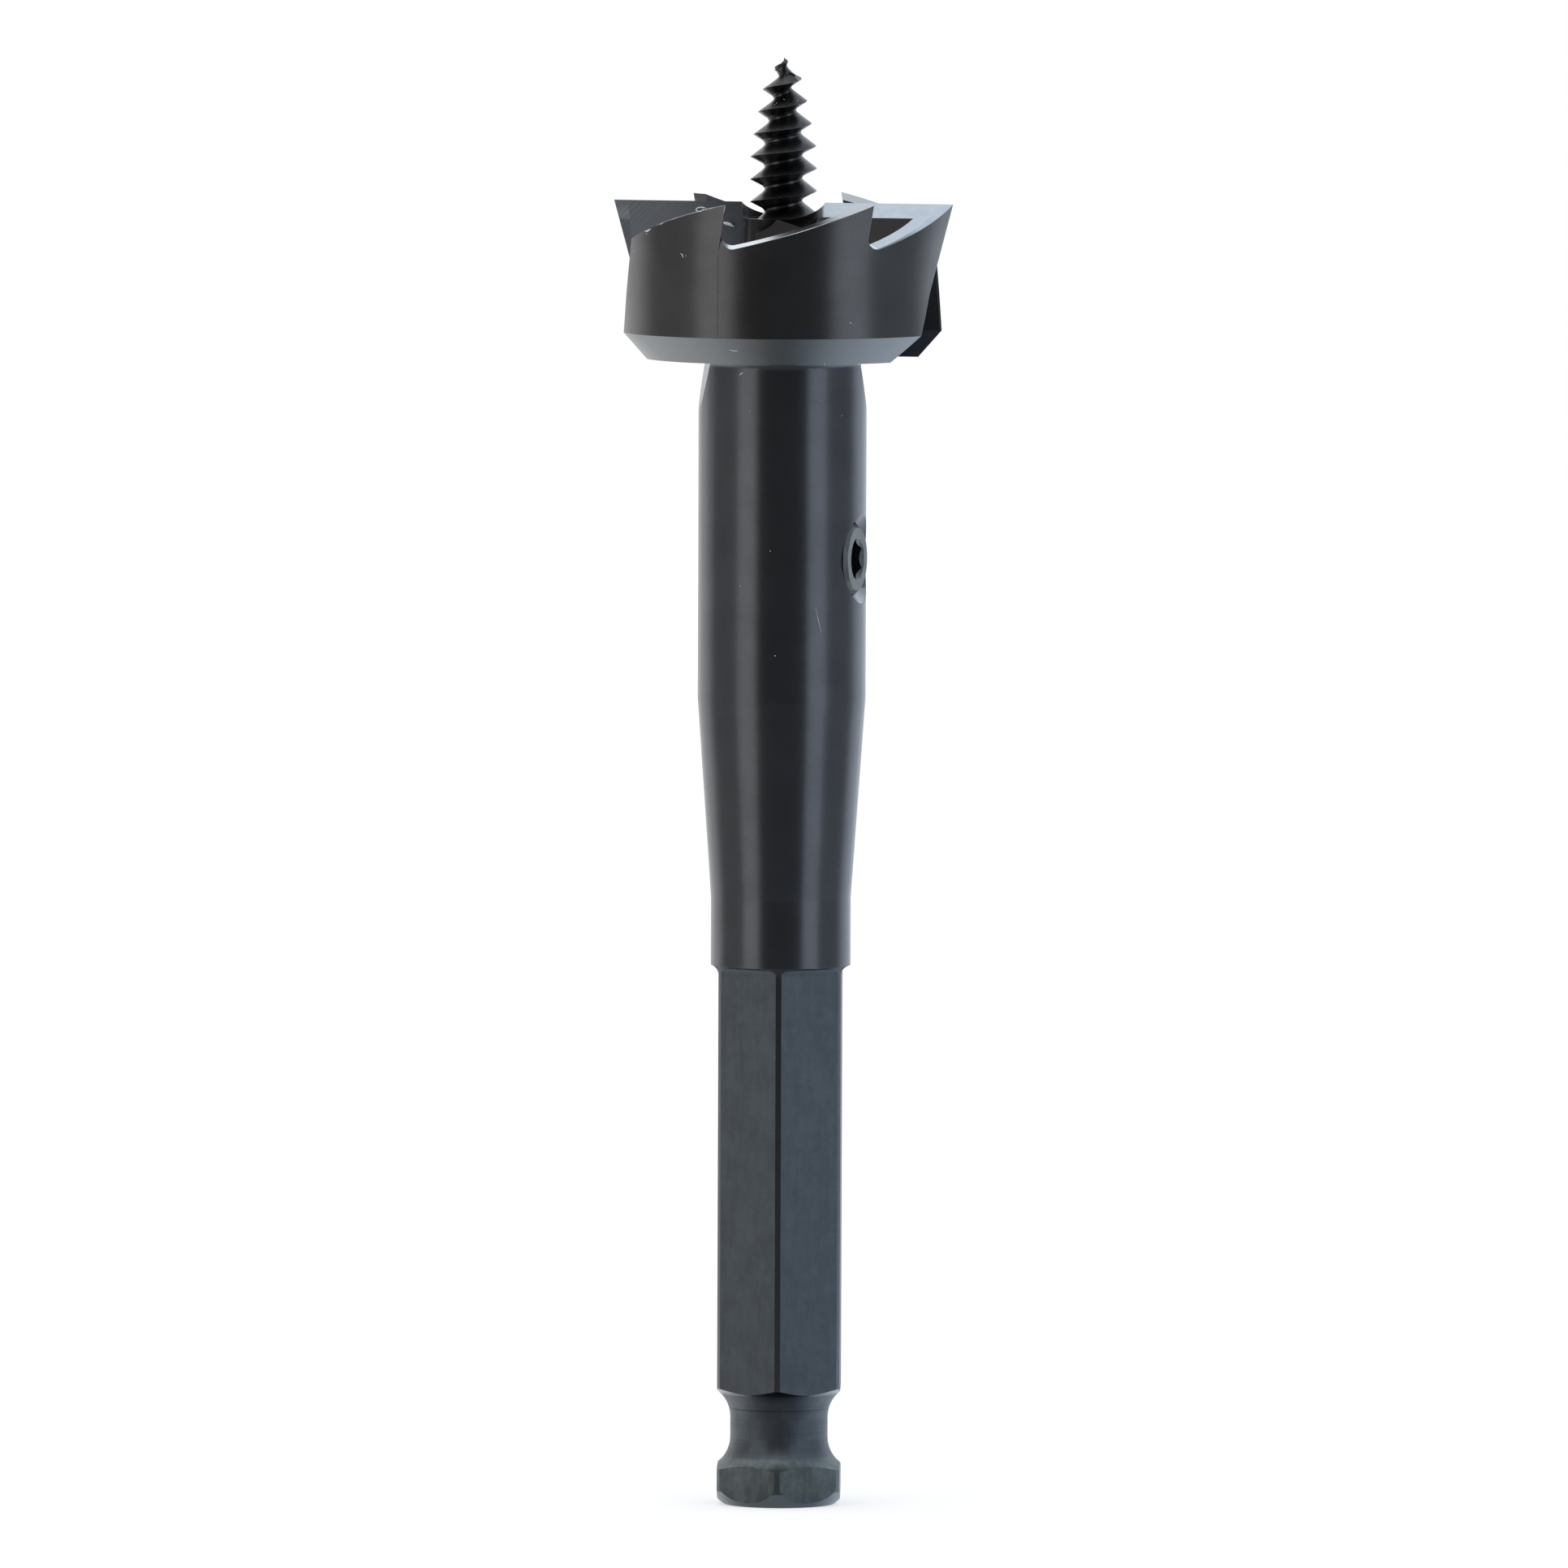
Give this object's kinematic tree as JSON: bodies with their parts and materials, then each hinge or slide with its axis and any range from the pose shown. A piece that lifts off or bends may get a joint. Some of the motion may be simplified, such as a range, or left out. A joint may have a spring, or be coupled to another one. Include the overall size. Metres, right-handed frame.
{
  "type": "self-feed bit",
  "caption": "Self-feed wood boring bit: toothed round cutter head with chip throats and a screw point on a stepped shank with a grooved hex end.",
  "frame": {"origin": "middle of the flat end of the hex shank, on which the bit stands", "axes": "+Z along the bit's axis from the hex end to the feed screw's point, +X to the right and +Y away from the viewer in the pictured view"},
  "size_m": [0.0308, 0.0294, 0.1314],
  "materials": {
    "body_steel": "dark oxide coat on turned and ground steel, bare on the ground lips",
    "screw_steel": "black oxide",
    "set_screw_steel": "black oxide"
  },
  "bodies": {
    "root": {"bit_body": "body_steel", "feed_screw": "screw_steel", "set_screw": "set_screw_steel"}
  },
  "joints": []
}
